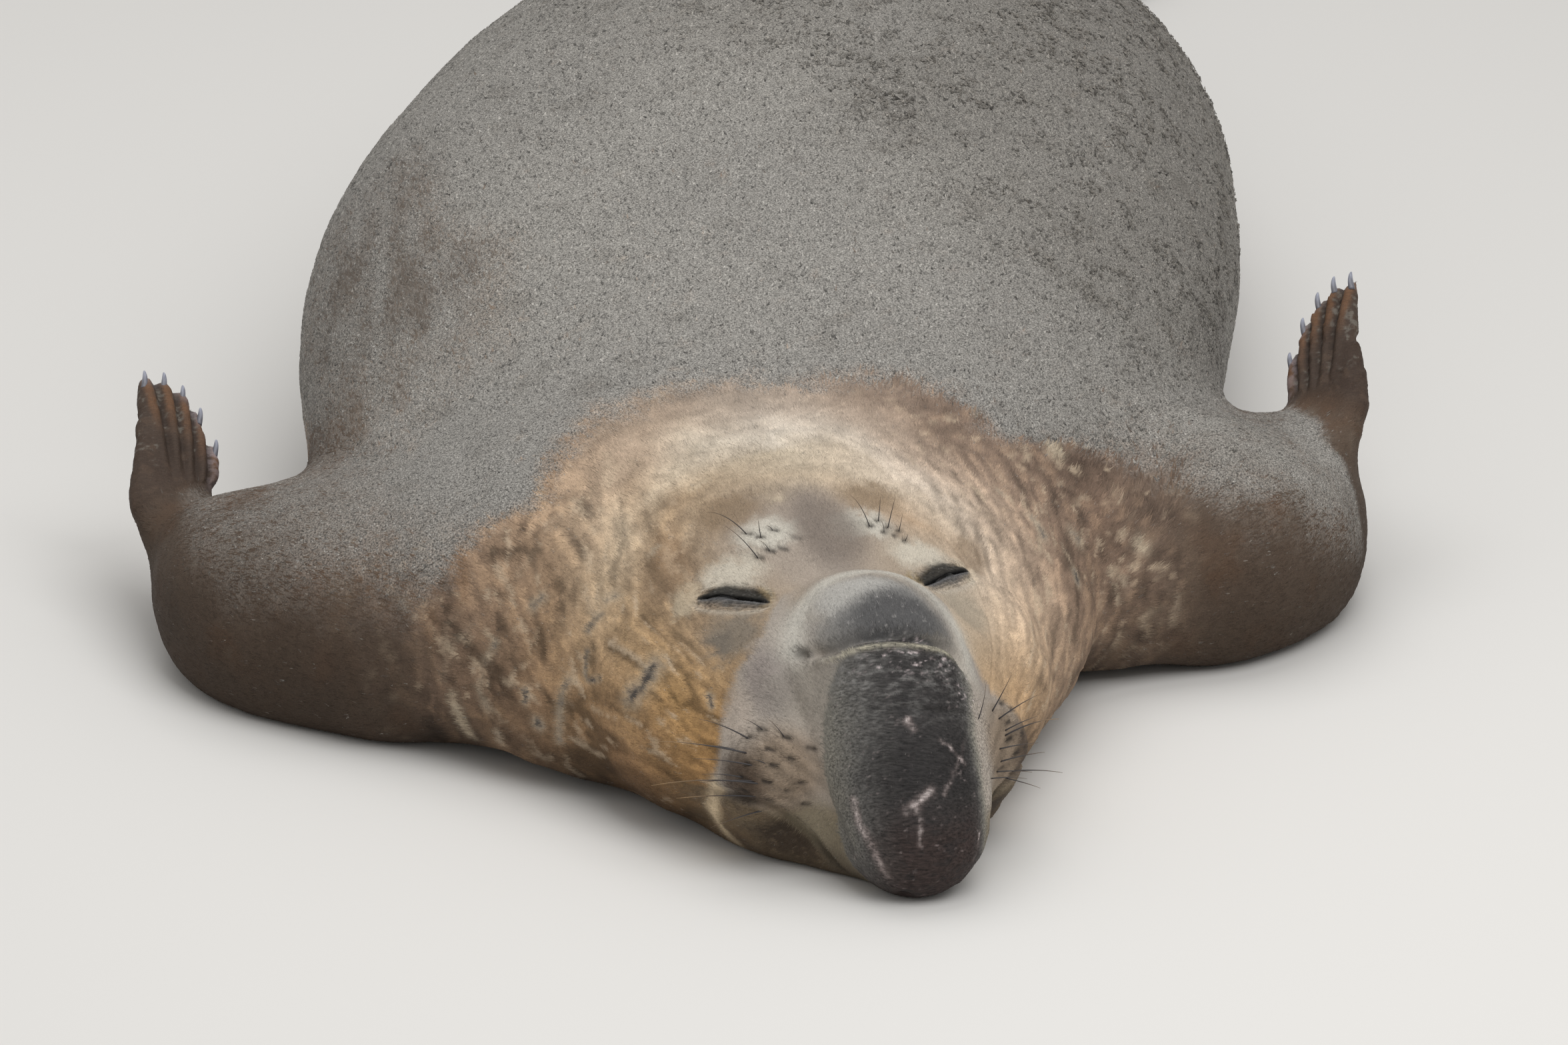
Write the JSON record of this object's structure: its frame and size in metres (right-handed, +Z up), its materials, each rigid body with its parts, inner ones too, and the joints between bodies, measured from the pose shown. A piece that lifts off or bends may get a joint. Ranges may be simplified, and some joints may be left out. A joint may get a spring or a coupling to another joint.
{
  "type": "elephant seal model",
  "caption": "Life-size model of a bull elephant seal lying on its belly, chin and drooping nose on the floor, fore flippers bent back.",
  "frame": {"origin": "on the floor, under the middle of the bounding box", "axes": "+Z up; the head faces -Y, so the seal's left side is at +X"},
  "size_m": [1.6676, 4.314, 0.6466],
  "materials": {
    "nose": "short dark fur with scars",
    "jaw": "damp brown fur",
    "head": "short golden fur",
    "neck": "mottled brown fur, creased",
    "body": "brown fur dusted with sand",
    "hips": "brown fur dusted with sand",
    "arms": "dark brown fur, sandy above",
    "hands": "short dark brown fur",
    "feet": "short dark brown fur",
    "eyes": "wet black",
    "claws": "slate horn"
  },
  "bodies": {
    "root": {"chest": "body", "claw_left_1": "claws", "claw_left_2": "claws", "claw_left_3": "claws", "claw_left_4": "claws", "claw_left_5": "claws", "claw_right_1": "claws", "claw_right_2": "claws", "claw_right_3": "claws", "claw_right_4": "claws", "claw_right_5": "claws", "eye_left": "eyes", "eye_right": "eyes", "foreflipper_left_arm": "arms", "foreflipper_left_hand": "hands", "foreflipper_right_arm": "arms", "foreflipper_right_hand": "hands", "head": "head", "hind_flipper_left": "feet", "hind_flipper_right": "feet", "hips": "hips", "lower_jaw": "jaw", "neck": "neck", "proboscis": "nose", "tail": "feet", "trunk": "body"}
  },
  "joints": []
}
